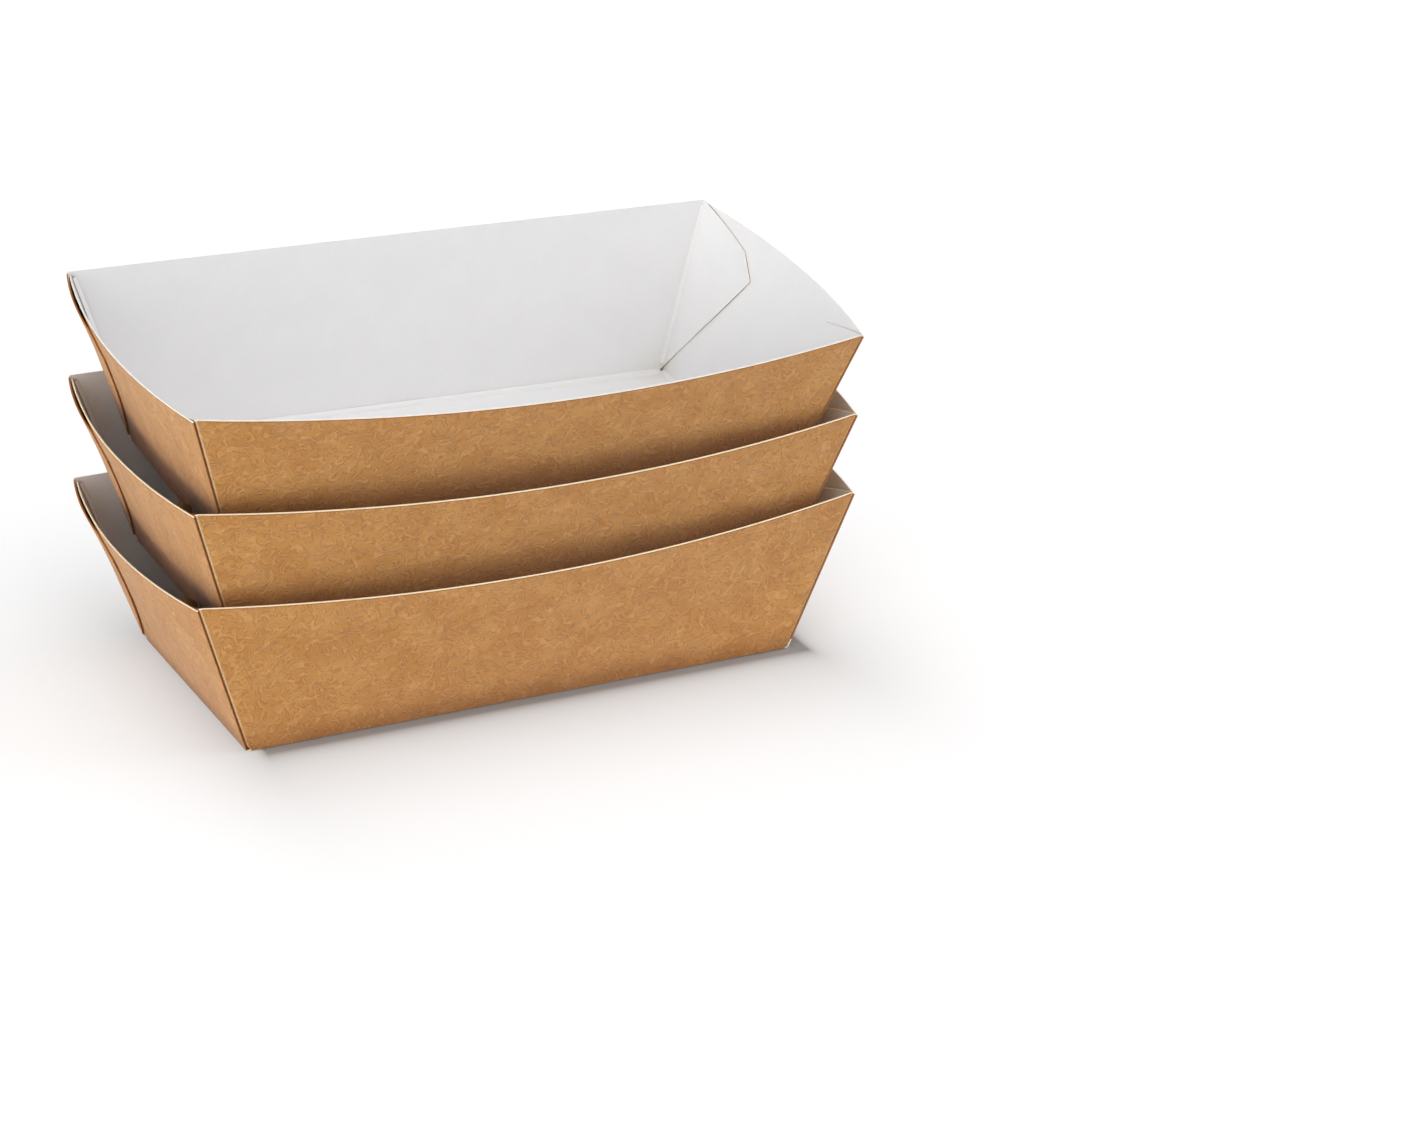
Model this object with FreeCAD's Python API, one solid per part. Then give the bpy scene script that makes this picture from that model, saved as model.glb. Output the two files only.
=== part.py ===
import FreeCAD, Part
import math
import os

# A stack of folded food trays, nested in each other.
# Lengths are in millimetres and angles in degrees.
# X runs along the trays, the front is at -Y and Z points up.

# Board that the trays are cut from
board = 0.45
glue_gap = 0.12
fold_radius = 0.85

# One tray, measured over its outer faces
base_length = 155.0
base_width = 78.5
rim_length = 185.0
rim_width = 98.0
wall_height = 46.5

# The walls bulge outwards, and their rims dip between the corners
side_bow = 8.1
side_dip = 3.5
end_bow = 5.3
end_dip = 0.8

# The end walls stop short of the corner folds, and below the long walls' rim
corner_relief = 0.35
end_rim_drop = 0.7

# Corner flaps: how far they reach from the corner fold, and how far they drop below its head
shoulder_reach = 22.5
shoulder_drop = 6.4
tip_reach = 29.0
tip_drop = 12.0
flap_neck = 0.3
flap_heel = 1.6
lapped_flap_lift = 1.1

# How one tray sits in the tray below it
nest_rise = 26.9
nest_left = 1.5
nest_forward = 0.9
nest_tilt_front = 2.2
nest_tilt_right = 1.0
seat_clearance = 0.15

FRONT, BACK = -1, 1
LEFT, RIGHT = -1, 1
UP = FreeCAD.Vector(0, 0, 1)

side_flare = (rim_width - base_width) / 2
end_flare = (rim_length - base_length) / 2
side_lean = math.atan2(side_flare, wall_height)
end_lean = math.atan2(end_flare, wall_height)

end_rim_height = wall_height - end_rim_drop

# The board's thickness, measured level through a leaning wall
side_level = board / math.cos(side_lean)
end_level = board / math.cos(end_lean)


def is_lapped(side, end):
    """The back left flap is lapped over the end wall, and the other three go behind it."""
    return side == BACK and end == LEFT


def fold_inset(side, end):
    """Level distance from the outer face of the end wall in to the corner fold."""
    if is_lapped(side, end):
        return -(glue_gap + side_level)
    return glue_gap + end_level


def side_place(height):
    """Distance of a long wall's outer face from the middle, at its corners."""
    return base_width / 2 + side_flare * height / wall_height


def end_place(height):
    """Distance of an end wall's outer face from the middle, at its corners."""
    return base_length / 2 + end_flare * height / wall_height


def end_face(y, height):
    """Distance of an end wall's bulging outer face from the middle."""
    crown = max(0.0, 1 - (y / side_place(height)) ** 2)
    reach = end_place(end_rim_height) - end_place(0) + end_bow * crown
    return end_place(0) + reach * height / (end_rim_height - end_dip * crown)


def arc(points):
    return Part.Arc(*points).toShape()


def setback(first, second):
    """Distance from a sharp corner back to where the fold's bend starts."""
    return fold_radius / math.tan(first.getAngle(second) / 2)


def bend(corner, first, second, thickness, run):
    """The bent strip between two panels that leave a corner line, along a straight run."""
    start, stop = (corner + way * setback(first, second) for way in (first, second))
    inwards = (first + second).normalize()
    centre = corner + inwards * (fold_radius / math.sin(first.getAngle(second) / 2))
    inner_radius = fold_radius - thickness
    inner_start, inner_stop = (
        centre + (point - centre).normalize() * inner_radius for point in (start, stop)
    )
    profile = [
        arc([start, centre - inwards * fold_radius, stop]),
        Part.makeLine(stop, inner_stop),
        arc([inner_stop, centre - inwards * inner_radius, inner_start]),
        Part.makeLine(inner_start, start),
    ]
    return Part.Face(Part.Wire(profile)).extrude(run)


def closed_board(outer, inner):
    """A board between two faces, each given as its lower edge and its upper edge."""
    faces = [
        Part.makeRuledSurface(*outer),
        Part.makeRuledSurface(*inner),
        Part.makeRuledSurface(outer[0], inner[0]),
        Part.makeRuledSurface(outer[1], inner[1]),
    ]
    for number in (0, 1):
        corners = [edge.Vertexes[number].Point for edge in (outer[0], outer[1], inner[1], inner[0])]
        faces.append(Part.Face(Part.makePolygon(corners + corners[:1])))
    shell = Part.makeShell(faces)
    shell.sewShape()
    solid = Part.makeSolid(shell)
    if solid.Volume < 0:
        solid.reverse()
    return solid


def wall_up(outwards, lean):
    """Direction up a wall's outer face from its base fold."""
    return outwards * math.sin(lean) + UP * math.cos(lean)


def wall_start(outwards, lean):
    """Height where the flat of a wall begins, above its base fold."""
    upwards = wall_up(outwards, lean)
    return setback(-outwards, upwards) * upwards.z


def bulging_wall(edge_point, outwards, lean, flare, top, bow, dip):
    """A wall with a bulging rim, and the base fold below it.

    edge_point gives the outer face's left (0) or right (1) edge at a height,
    and top is the height of the rim at its corners.
    """
    start = wall_start(outwards, lean)
    inner_start = start + board * math.sin(lean)
    level = outwards * (board / math.cos(lean))
    lower, inner_lower, upper = (
        [edge_point(number, height) for number in (0, 1)] for height in (start, inner_start, top)
    )
    crown = (upper[0] + upper[1]) * 0.5 + outwards * bow - UP * dip
    inner_crown = crown - outwards * (board / math.cos(math.atan2(flare + bow, top - dip)))
    panel = closed_board(
        (Part.makeLine(*lower), arc([upper[0], crown, upper[1]])),
        (
            Part.makeLine(*[point - level for point in inner_lower]),
            arc([upper[0] - level, inner_crown, upper[1] - level]),
        ),
    )
    upwards = wall_up(outwards, lean)
    corner = lower[0] - upwards * setback(-outwards, upwards)
    return [panel, bend(corner, -outwards, upwards, board, lower[1] - lower[0])]


def corner_point(side, end, height):
    """A point of the sharp corner line between a long wall and its flap."""
    x = end * (end_place(height) - fold_inset(side, end))
    return FreeCAD.Vector(x, side * side_place(height), height)


def corner_ways(side, end):
    """Level directions of the long wall and of the flap, away from the corner fold."""
    return FreeCAD.Vector(-end, 0, 0), FreeCAD.Vector(0, -side, 0)


def long_wall(side):
    """A long wall with its base fold, between the corner folds of two flaps."""

    def edge_point(number, height):
        end = (LEFT, RIGHT)[number]
        wall, flap = corner_ways(side, end)
        return corner_point(side, end, height) + wall * setback(wall, flap)

    outwards = FreeCAD.Vector(0, side, 0)
    return bulging_wall(edge_point, outwards, side_lean, side_flare, wall_height, side_bow, side_dip)


def end_wall(end):
    """An end wall with its base fold, between its two cut edges."""

    def edge_point(number, height):
        side = (FRONT, BACK)[number]
        trim = corner_relief + (side_level if is_lapped(side, end) else 0)
        return FreeCAD.Vector(end * end_place(height), side * (side_place(height) - trim), height)

    outwards = FreeCAD.Vector(end, 0, 0)
    return bulging_wall(edge_point, outwards, end_lean, end_flare, end_rim_height, end_bow, end_dip)


def flap_point(side, end, reach, drop, lift, curl):
    """A point of a flap's outer face, which follows the end wall and may curl in off it."""
    height = wall_height - drop
    y = side * (side_place(height) - reach)
    outwards = end_face(y, height) - fold_inset(side, end) + lift - curl * (reach / tip_reach) ** 2
    return FreeCAD.Vector(end * outwards, y, height)


def corner_flap(side, end, curl):
    """A long wall's corner fold and the flap that it carries."""
    lift = lapped_flap_lift if is_lapped(side, end) else 0.0
    wall, flap = corner_ways(side, end)
    start = wall_start(FreeCAD.Vector(0, side, 0), side_lean)
    foot, head = (corner_point(side, end, level) for level in (start, wall_height))
    fold = bend(foot, wall, flap, side_level, head - foot)

    root_foot, root_head = (
        corner_point(side, end, level) + flap * setback(wall, flap)
        for level in (start + flap_heel, wall_height - flap_neck)
    )
    lower = [
        root_foot,
        flap_point(side, end, tip_reach / 2, (tip_drop + wall_height) / 2, 0.0, curl),
        flap_point(side, end, tip_reach, tip_drop, 0.0, curl),
    ]
    upper = [
        root_head,
        flap_point(side, end, shoulder_reach / 2, shoulder_drop / 2, lift, curl),
        flap_point(side, end, shoulder_reach, shoulder_drop, 0.0, curl),
    ]
    inner = [arc([point + wall * side_level for point in points]) for points in (lower, upper)]
    return [fold, closed_board((arc(lower), arc(upper)), inner)]


def nest_step():
    """Where a tray lies, seen from the tray that it is nested in."""
    turn = FreeCAD.Rotation(0, nest_tilt_right, nest_tilt_front)
    return FreeCAD.Placement(FreeCAD.Vector(-nest_left, -nest_forward, nest_rise), turn)


def spring_curl(side, end):
    """How far a flap's tip curls in off its wall, to meet the tray above."""
    wall, _ = corner_ways(side, end)
    above = nest_step().inverse()
    clear, past = 0.0, tip_reach
    for _ in range(30):
        curl = (clear + past) / 2
        tip = above.multVec(flap_point(side, end, tip_reach, tip_drop, 0.0, curl) + wall * side_level)
        room = (end * tip.x - end_face(tip.y, tip.z)) * math.cos(end_lean)
        if room > seat_clearance:
            clear = curl
        else:
            past = curl
    return clear


def tray(sprung):
    """One tray as a single folded sheet, with its inner flaps sprung in or glued flat."""
    along, across = FreeCAD.Vector(RIGHT, 0, 0), FreeCAD.Vector(0, BACK, 0)
    half_length = base_length / 2 - setback(-along, wall_up(along, end_lean))
    half_width = base_width / 2 - setback(-across, wall_up(across, side_lean))
    deck = Part.makeBox(2 * half_length, 2 * half_width, board, FreeCAD.Vector(-half_length, -half_width, 0))
    pieces = end_wall(LEFT) + end_wall(RIGHT) + long_wall(FRONT) + long_wall(BACK)
    for side in (FRONT, BACK):
        for end in (LEFT, RIGHT):
            curl = spring_curl(side, end) if sprung and not is_lapped(side, end) else 0.0
            pieces += corner_flap(side, end, curl)
    return deck.multiFuse(pieces).removeSplitter()


os.makedirs("parts", exist_ok=True)
step = nest_step()
nested = tray(sprung=True)
trays = {
    "bottom_tray": nested,
    "middle_tray": nested.transformed(step.toMatrix(), True),
    "top_tray": tray(sprung=False).transformed((step * step).toMatrix(), True),
}
box = Part.makeCompound(list(trays.values())).BoundBox
for name, shape in trays.items():
    shape.translate(FreeCAD.Vector(-box.Center.x, -box.Center.y, 0))
    print(name, "solids", len(shape.Solids), "valid", shape.isValid(), "volume", round(shape.Volume, 1))
    shape.exportStep(os.path.join("parts", name + ".step"))
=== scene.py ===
"""Looks of a nested stack of folded kraft food trays.

Each tray is one folded board with rounded folds, raised creases and a real cut
edge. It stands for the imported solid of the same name. Sizes are in millimetres
and become metres when a mesh is made.
"""

from __future__ import annotations

import logging
import math
from dataclasses import dataclass, field
from enum import Enum, IntEnum
from typing import Any, Callable, Iterable

import bmesh
import bpy
import numpy as np
from mathutils import Matrix, Vector

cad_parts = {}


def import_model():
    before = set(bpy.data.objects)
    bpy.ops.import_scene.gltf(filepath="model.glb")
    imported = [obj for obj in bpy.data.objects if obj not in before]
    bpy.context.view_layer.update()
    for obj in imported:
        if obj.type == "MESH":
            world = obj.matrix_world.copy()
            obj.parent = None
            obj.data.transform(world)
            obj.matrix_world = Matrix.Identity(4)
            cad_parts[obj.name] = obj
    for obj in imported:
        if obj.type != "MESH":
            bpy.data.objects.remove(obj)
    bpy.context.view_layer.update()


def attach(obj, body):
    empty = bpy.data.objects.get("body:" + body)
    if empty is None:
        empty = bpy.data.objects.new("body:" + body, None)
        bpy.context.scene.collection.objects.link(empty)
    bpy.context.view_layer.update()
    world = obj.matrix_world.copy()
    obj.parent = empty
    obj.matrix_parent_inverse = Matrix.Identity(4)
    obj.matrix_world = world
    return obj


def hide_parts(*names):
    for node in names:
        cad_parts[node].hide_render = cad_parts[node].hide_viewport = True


LOG = logging.getLogger("trays")
MM = 0.001
BLANK_UNIT = 100.0  # millimetres of the flat blank for each unit of its UV map
BEAD_HALF = 0.95  # half the width of a crease bead of width 1
NUMBER = "NodeSocketFloat"
UP = Vector((0.0, 0.0, 1.0))
Colour = tuple[float, float, float, float]
Socket = bpy.types.NodeSocket
Tree = bpy.types.NodeTree
Material = bpy.types.Material
WHITE: Colour = (1.0, 1.0, 1.0, 1.0)


class Side(IntEnum):
    """A long side of a tray, by the sign of Y."""

    FRONT = -1
    BACK = 1


class End(IntEnum):
    """A short end of a tray, by the sign of X."""

    LEFT = -1
    RIGHT = 1


class Skin(IntEnum):
    """Material slots of a folded board."""

    OUTSIDE = 0
    INSIDE = 1
    RIM_CUT = 2
    RIM_PLY = 3
    PAINTED_SHADE_CUT = 4
    FLAP_CUT = 5


class Cut(IntEnum):
    """Which kind of cut edge a panel has."""

    RIM = 0
    CORNER = 1
    FLAP = 2
    LAPPED = 3


class Flaps(Enum):
    """How a tray's three inner corner flaps lie."""

    CURLED = "curled in to carry the next tray"
    FLAT = "flat on the end walls"


def srgb(red: float, green: float, blue: float) -> Colour:
    """Turn a screen colour from 0 to 255 into the linear colour of a socket.

    Args:
        red: Red as it shows on a screen.
        green: Green as it shows on a screen.
        blue: Blue as it shows on a screen.

    Returns:
        The linear colour with an alpha of 1.
    """
    linear = [
        (v / 255 / 12.92) if v <= 10 else ((v / 255 + 0.055) / 1.055) ** 2.4
        for v in (red, green, blue)
    ]
    return (linear[0], linear[1], linear[2], 1.0)


# Node building


class Graph:
    """Adds nodes to a tree and links them."""

    def __init__(self, tree: Tree) -> None:
        """Work on a tree that may already hold nodes."""
        self.tree = tree

    def node(
        self, kind: str, settings: dict[str, Any] | None = None, **values: Any
    ) -> bpy.types.Node:
        """Add a node and fill its inputs.

        Args:
            kind: The node's type name.
            settings: Properties of the node itself.
            **values: Inputs by name, with _ for a blank, each a socket or a value.

        Returns:
            The new node.
        """
        node = self.tree.nodes.new(kind)
        for name, value in (settings or {}).items():
            setattr(node, name, value)
        for name, value in values.items():
            self.feed(node.inputs[name.replace("_", " ")], value)
        return node

    def feed(self, socket: Socket, value: Any) -> None:
        """Link a socket into an input, or set the input's own value.

        Args:
            socket: The input.
            value: A socket or a plain value.
        """
        if isinstance(value, bpy.types.NodeSocket):
            self.tree.links.new(value, socket)
        else:
            socket.default_value = value

    def feed_all(self, sockets: Iterable[Socket], values: Iterable[Any]) -> None:
        """Feed several inputs, each with its own value."""
        for socket, value in zip(sockets, values):
            self.feed(socket, value)

    def math(self, operation: str, *values: Any, clamp: bool = False) -> Socket:
        """Add a Math node.

        Args:
            operation: The operation's name.
            *values: One to three numbers or sockets.
            clamp: Whether the result stays between 0 and 1.

        Returns:
            The result.
        """
        node = self.node("ShaderNodeMath", {"operation": operation, "use_clamp": clamp})
        self.feed_all(node.inputs, values)
        return node.outputs[0]

    def vector_math(self, operation: str, *values: Any) -> Socket:
        """Add a Vector Math node.

        Args:
            operation: The operation's name.
            *values: Vectors or sockets, and for SCALE a vector and a number.

        Returns:
            The resulting vector.
        """
        node = self.node("ShaderNodeVectorMath", {"operation": operation})
        scaled = operation == "SCALE"
        self.feed_all((node.inputs[0], node.inputs["Scale"]) if scaled else node.inputs, values)
        return node.outputs[0]

    def mix(self, share: Any, first: Any, second: Any, blend: str = "MIX") -> Socket:
        """Add a colour Mix node.

        Args:
            share: How much of the second colour there is.
            first: The colour at a share of 0.
            second: The colour at a share of 1.
            blend: The blend mode.

        Returns:
            The mixed colour.
        """
        node = self.node("ShaderNodeMix", {"data_type": "RGBA", "blend_type": blend})
        self.feed_all([node.inputs[number] for number in (0, 6, 7)], (share, first, second))
        return node.outputs[2]

    def remap(self, value: Any, low: float, high: float) -> Socket:
        """Add a smooth Map Range node, which clamps from 0 at low to 1 at high.

        Args:
            value: The number that is mapped.
            low: The value that gives 0.
            high: The value that gives 1.

        Returns:
            The mapped number.
        """
        node = self.node("ShaderNodeMapRange", {"interpolation_type": "SMOOTHSTEP"})
        sockets = [node.inputs[name] for name in ("Value", "From Min", "From Max")]
        self.feed_all(sockets, (value, low, high))
        return node.outputs[0]

    def noise(self, vector: Any, scale: float, seed: Any = None, **values: Any) -> Socket:
        """Add a Noise Texture.

        Args:
            vector: Where it is read.
            scale: Its scale.
            seed: Its fourth coordinate, for a pattern that differs from tray to tray.
            **values: Other inputs by name.

        Returns:
            The noise's factor.
        """
        settings = {"noise_dimensions": "3D" if seed is None else "4D"}
        node = self.node("ShaderNodeTexNoise", settings, Vector=vector, Scale=scale, **values)
        if seed is not None:
            self.feed(node.inputs["W"], seed)
        return node.outputs["Fac"]

    def stored(self, name: str, kind: str = "FLOAT") -> Socket:
        """Read a number or vector that is stored on the points of a mesh."""
        node = self.node("GeometryNodeInputNamedAttribute", {"data_type": kind}, Name=name)
        return node.outputs[0]


def new_group(
    kind: str,
    name: str,
    inputs: Iterable[tuple[str, str, Any]],
    outputs: Iterable[tuple[str, str]],
) -> Graph:
    """Start a node group with named sockets.

    Args:
        kind: The tree's type, for geometry or for shaders.
        name: The group's name.
        inputs: Name, socket type and default value of each input.
        outputs: Name and socket type of each output.

    Returns:
        The graph of the new group.
    """
    tree = bpy.data.node_groups.new(name, kind)
    for label, socket_type, value in inputs:
        socket = tree.interface.new_socket(name=label, in_out="INPUT", socket_type=socket_type)
        if value is not None:
            socket.default_value = value
    for label, socket_type in outputs:
        tree.interface.new_socket(name=label, in_out="OUTPUT", socket_type=socket_type)
    return Graph(tree)


def begin_material(name: str, colour: Colour) -> tuple[Material, Graph, bpy.types.Node]:
    """Start a material.

    Args:
        name: Its name.
        colour: Its colour in a plain view.

    Returns:
        The material, its graph and its shader.
    """
    material = bpy.data.materials.new(name)
    material.use_nodes = True
    material.diffuse_color = colour
    graph = Graph(material.node_tree)
    return material, graph, graph.tree.nodes["Principled BSDF"]


# Finishes


@dataclass(frozen=True)
class BoardTexture:
    """The pattern of both faces: pressed fibres, mottling, grain, flecks, painted shade in hollows.

    Pairs of numbers are the two ends of a smooth step, and the reach of the painted shade in
    hollows is in millimetres. The rest is in units of the flat blank.
    """

    seeds: tuple[float, float] = (0.0, 3.7)
    lines: tuple[float, float] = (7.0, 5.5)
    second_layer: float = 0.8
    seed_slant: float = 0.37
    curl_scale: float = 26.0
    curl: float = 0.035
    contour_scale: float = 16.0
    break_scale: float = 48.0
    breaks: tuple[float, float] = (0.42, 0.55)
    ridge: tuple[float, float] = (0.14, 0.02)
    dip_place: float = 0.24
    dip_width: float = 0.1
    dip_depth: float = 0.6
    mottle_scale: float = 9.0
    mottles: tuple[float, float] = (0.34, 0.66)
    grain_scale: float = 230.0
    grains: tuple[float, float] = (0.3, 0.7)
    grain_height: float = 0.2
    fleck_scale: float = 30.0
    flecks: tuple[float, float] = (0.09, 0.04)
    rare_scale: float = 33.0
    rare: tuple[float, float] = (0.64, 0.7)
    # Painted shade: ambient occlusion darkens the colour in hollows and between nested walls.
    painted_shade_reach: float = 12.0
    painted_shade_samples: int = 4

    def fibre_layer(
        self, graph: Graph, where: Socket, seed: float, lines: float
    ) -> tuple[Socket, Socket]:
        """Add short curved fibres that follow the contours of a bent noise.

        Args:
            graph: The graph that gets the nodes.
            where: Flat coordinates.
            seed: Moves the pattern to another place.
            lines: How many contours lie close together.

        Returns:
            A mask of the raised fibres and a mask of the dips beside them, which are painted darker
            as their shadow.
        """
        moved = graph.vector_math("ADD", where, (seed, seed * self.seed_slant, 0.0))
        noise = graph.node("ShaderNodeTexNoise", Vector=moved, Scale=self.curl_scale, Detail=1.0)
        curl = graph.vector_math("SCALE", noise.outputs["Color"], self.curl)
        bent = graph.vector_math("ADD", moved, curl)
        contours = graph.math("MULTIPLY", graph.noise(bent, self.contour_scale, Detail=1.0), lines)
        wave = graph.math("PINGPONG", contours, 0.5)
        broken = graph.remap(graph.noise(moved, self.break_scale, Detail=0.5), *self.breaks)
        beside = graph.math("ABSOLUTE", graph.math("SUBTRACT", wave, self.dip_place))
        ridge, dip_shadow = graph.remap(wave, *self.ridge), graph.remap(beside, self.dip_width, 0.0)
        return graph.math("MULTIPLY", ridge, broken), graph.math("MULTIPLY", dip_shadow, broken)

    def group(self) -> Tree:
        """Build the shader group that the board's materials share.

        Returns:
            The group, whose coordinates are in units of the flat blank.
        """
        outputs = ("Fibres", "Dips", "Mottle", "Grain", "Flecks", "Height", "Open")
        graph = new_group(
            "ShaderNodeTree",
            "Board texture",
            [("Vector", "NodeSocketVector", None), ("Fibre Size", NUMBER, 1.0)],
            [(name, NUMBER) for name in outputs],
        )
        given = graph.node("NodeGroupInput").outputs
        flat = given["Vector"]
        sized = graph.vector_math("SCALE", flat, graph.math("DIVIDE", 1.0, given["Fibre Size"]))
        (ridges, dips), (more_ridges, more_dips) = (
            self.fibre_layer(graph, sized, seed, lines)
            for seed, lines in zip(self.seeds, self.lines)
        )
        more_ridges = graph.math("MULTIPLY", more_ridges, self.second_layer)
        ridges = graph.math("MAXIMUM", ridges, more_ridges)
        dips = graph.math("SUBTRACT", graph.math("MAXIMUM", dips, more_dips), ridges, clamp=True)
        mottle = graph.noise(flat, self.mottle_scale, Detail=5.0, Roughness=0.6)
        grain = graph.noise(flat, self.grain_scale, Detail=2.0)
        spots = graph.node("ShaderNodeTexVoronoi", Vector=flat, Scale=self.fleck_scale)
        spots = graph.remap(spots.outputs["Distance"], *self.flecks)
        rare = graph.remap(graph.noise(flat, self.rare_scale), *self.rare)
        raised = graph.math("SUBTRACT", ridges, graph.math("MULTIPLY", dips, self.dip_depth))
        # Ambient occlusion, the mask of the painted shade in hollows.
        painted_shade_ao = graph.node(
            "ShaderNodeAmbientOcclusion",
            {"samples": self.painted_shade_samples},
            Distance=self.painted_shade_reach * MM,
        )
        graph.node(
            "NodeGroupOutput",
            Fibres=ridges,
            Dips=dips,
            Mottle=graph.remap(mottle, *self.mottles),
            Grain=graph.remap(grain, *self.grains),
            Flecks=graph.math("MULTIPLY", spots, rare),
            Height=graph.math("ADD", raised, graph.math("MULTIPLY", grain, self.grain_height)),
            Open=painted_shade_ao.outputs["AO"],
        )
        return graph.tree


@dataclass(frozen=True)
class BoardFinish:
    """One surface of the board: its colours, its texture, its painted shade and its gloss.

    closed and open say how open a hollow is where the colour of the painted shade is at full
    strength, and where it ends.
    """

    name: str
    tone: Colour
    mottled: Colour
    fibre: Colour
    # Painted shadow colour of the dips beside the fibres.
    dip_shadow: Colour
    fleck: Colour
    # Folds lighten towards this colour, partly rubbed pale and partly a painted highlight.
    wear_and_highlight: Colour
    fibre_share: float
    grain_share: float
    wear_and_highlight_share: float
    roughness: float
    bump: float
    closed: float
    open: float
    # Colour that the painted shade in hollows darkens towards.
    painted_shade: Colour = srgb(194, 173, 137)
    gloss: float = 0.2
    sheen: float = 0.0
    fibre_size: float = 1.0

    def material(self, texture: Tree) -> Material:
        """Make the material.

        Args:
            texture: The board texture's group.

        Returns:
            A material that reads the blank's own flat coordinates.
        """
        material, graph, shader = begin_material(self.name, self.tone)
        flat = graph.node("ShaderNodeUVMap", {"uv_map": "blank"}).outputs["UV"]
        board = graph.node(
            "ShaderNodeGroup", {"node_tree": texture}, Vector=flat, Fibre_Size=self.fibre_size
        ).outputs
        fold = graph.node("ShaderNodeAttribute", {"attribute_name": "fold"}).outputs["Fac"]
        fibres, dips = (
            graph.math("MULTIPLY", board[mask], self.fibre_share) for mask in ("Fibres", "Dips")
        )
        speckle = graph.math(
            "MULTIPLY_ADD", board["Grain"], 2 * self.grain_share, 1 - self.grain_share
        )
        colour = graph.mix(board["Mottle"], self.tone, self.mottled)
        colour = graph.mix(fibres, colour, self.fibre)
        # Painted shadow: the dips beside the fibres darken.
        colour = graph.mix(dips, colour, self.dip_shadow)
        colour = graph.vector_math("SCALE", colour, speckle)
        colour = graph.mix(board["Flecks"], colour, self.fleck)
        # Folds lighten: partly rubbed pale, partly a painted highlight.
        colour = graph.mix(graph.math("MULTIPLY", fold, self.wear_and_highlight_share), colour, self.wear_and_highlight)
        # Painted shade: the colour darkens where ambient occlusion finds hollows and nested walls.
        painted_shade_tint = graph.mix(graph.remap(board["Open"], self.closed, self.open), self.painted_shade, WHITE)
        graph.feed(shader.inputs["Base Color"], graph.mix(1.0, colour, painted_shade_tint, "MULTIPLY"))
        shader.inputs["Roughness"].default_value = self.roughness
        shader.inputs["Specular IOR Level"].default_value = self.gloss
        shader.inputs["Sheen Weight"].default_value = self.sheen
        bump = graph.node("ShaderNodeBump", Distance=self.bump * MM, Height=board["Height"])
        graph.feed(shader.inputs["Normal"], bump.outputs["Normal"])
        return material


@dataclass(frozen=True)
class EdgeFinish:
    """A cut edge, with faint streaks along the cut."""

    name: str
    light: Colour
    dark: Colour
    streak_scale: float = 40.0
    streak_stretch: float = 12.0
    streaks: tuple[float, float] = (0.35, 0.7)
    bump: float = 0.03
    roughness: float = 0.85
    gloss: float = 0.1

    def material(self) -> Material:
        """Make the material, streaked along the edge.

        Returns:
            A material that reads the edge's own strip coordinates.
        """
        material, graph, shader = begin_material(self.name, self.light)
        flat = graph.node("ShaderNodeUVMap", {"uv_map": "blank"}).outputs["UV"]
        strip = graph.vector_math("MULTIPLY", flat, (1.0, self.streak_stretch, 1.0))
        streaks = graph.noise(strip, self.streak_scale, Detail=3.0)
        colour = graph.mix(graph.remap(streaks, *self.streaks), self.light, self.dark)
        graph.feed(shader.inputs["Base Color"], colour)
        shader.inputs["Roughness"].default_value = self.roughness
        shader.inputs["Specular IOR Level"].default_value = self.gloss
        bump = graph.node("ShaderNodeBump", Distance=self.bump * MM, Height=streaks)
        graph.feed(shader.inputs["Normal"], bump.outputs["Normal"])
        return material


KRAFT = BoardFinish(
    name="kraft_board",
    tone=srgb(213, 155, 87),
    mottled=srgb(201, 140, 72),
    fibre=srgb(232, 175, 113),
    dip_shadow=srgb(174, 113, 54),
    fleck=srgb(156, 98, 46),
    wear_and_highlight=srgb(250, 218, 174),
    fibre_share=0.5,
    grain_share=0.09,
    wear_and_highlight_share=0.8,
    roughness=0.7,
    bump=0.12,
    closed=0.25,
    open=0.8,
    sheen=0.3,
    fibre_size=1.1,
)
LINER = BoardFinish(
    name="white_liner",
    tone=srgb(231, 230, 230),
    mottled=srgb(229, 228, 228),
    fibre=srgb(233, 232, 232),
    dip_shadow=srgb(228, 227, 227),
    fleck=srgb(225, 224, 223),
    wear_and_highlight=srgb(243, 243, 243),
    fibre_share=0.1,
    grain_share=0.012,
    wear_and_highlight_share=0.4,
    roughness=0.5,
    bump=0.006,
    closed=0.2,
    open=0.6,
    fibre_size=1.4,
)
RIM_CUT = EdgeFinish("cut_edge", srgb(255, 242, 214), srgb(250, 228, 190))
RIM_PLY = EdgeFinish("cut_edge_outer_ply", srgb(188, 124, 64), srgb(164, 100, 48))
# A cut edge in the dark brown of painted shade, for the corner grooves and the flaps in the gaps
# between trays.
PAINTED_SHADE_CUT = EdgeFinish("cut_edge_painted_shade", srgb(150, 92, 46), srgb(122, 68, 28))
FLAP_CUT = EdgeFinish("cut_edge_flap", srgb(246, 243, 238), srgb(232, 226, 218))


# The folded sheet


@dataclass(frozen=True)
class Corner:
    """A corner of a tray, where a long wall's flap meets an end wall."""

    side: Side
    end: End

    @property
    def lapped(self) -> bool:
        """Whether its flap is lapped over the end wall."""
        return self.side is Side.BACK and self.end is End.LEFT

    @property
    def ways(self) -> tuple[Vector, Vector]:
        """Level directions of the long wall and of the flap, away from the corner fold."""
        return Vector((-self.end, 0, 0)), Vector((0, -self.side, 0))


CORNERS = tuple(Corner(side, end) for side in Side for end in End)


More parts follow.
